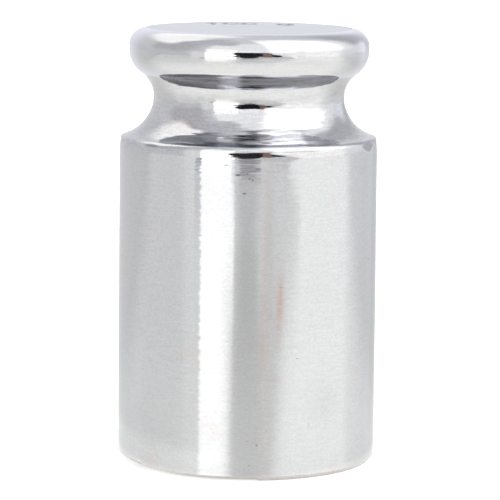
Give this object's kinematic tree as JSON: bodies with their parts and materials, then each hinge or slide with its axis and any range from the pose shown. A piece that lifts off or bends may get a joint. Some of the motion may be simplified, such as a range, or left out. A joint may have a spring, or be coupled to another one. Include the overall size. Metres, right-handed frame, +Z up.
{
  "type": "calibration weight",
  "caption": "Cylindrical knob weight for checking a balance, turned in one piece, with a waisted neck, a round lifting knob and a chrome finish.",
  "frame": {"origin": "centre of the flat foot, on the turning axis, at the plane that the weight stands on", "axes": "+Z up along the turning axis, from the foot to the knob; X and Y are any pair square to it, with the nick in the foot's edge towards -Y"},
  "size_m": [0.022, 0.022, 0.0366],
  "materials": {
    "chrome_plate": "bright plating over turned steel, polished on the knob and neck, with fine turning marks and small pits on the wall"
  },
  "bodies": {
    "root": {"weight_body": "chrome_plate"}
  },
  "joints": []
}
